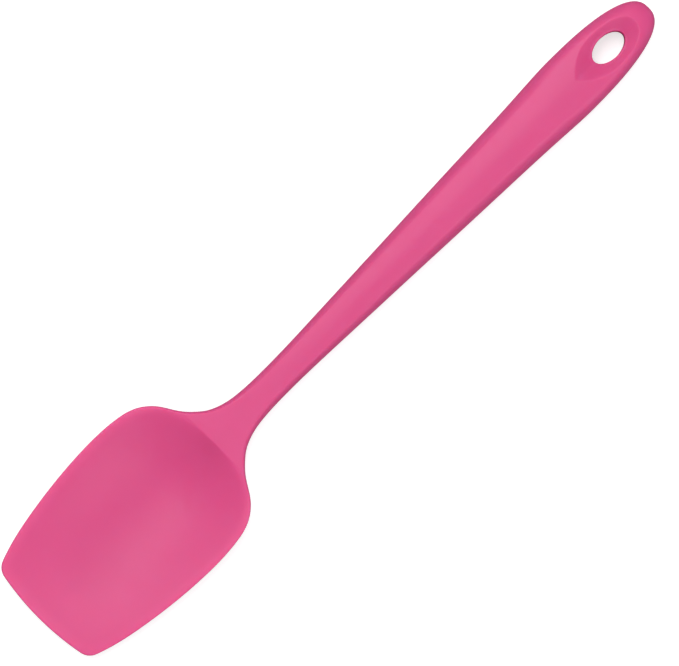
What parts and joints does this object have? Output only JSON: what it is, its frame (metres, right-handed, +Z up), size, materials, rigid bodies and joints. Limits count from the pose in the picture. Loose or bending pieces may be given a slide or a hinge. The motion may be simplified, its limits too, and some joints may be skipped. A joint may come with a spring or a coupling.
{
  "type": "silicone spatula",
  "caption": "Spoon-shaped spatula: dished silicone blade with a thin lip, slim neck and long tapering handle with an oval hanging hole, moulded over a steel core.",
  "frame": {"origin": "middle of the part's length and width, on the surface that the part lies on with its bowl up", "axes": "+X from the blade's tip to the end of the handle, +Y to the left seen from the tip with the bowl up, +Z up out of the bowl"},
  "size_m": [0.27, 0.055, 0.0123],
  "materials": {
    "silicone": "matte silicone",
    "core_steel": "stamped stainless"
  },
  "bodies": {
    "root": {"silicone_body": "silicone", "steel_core": "core_steel"}
  },
  "joints": []
}
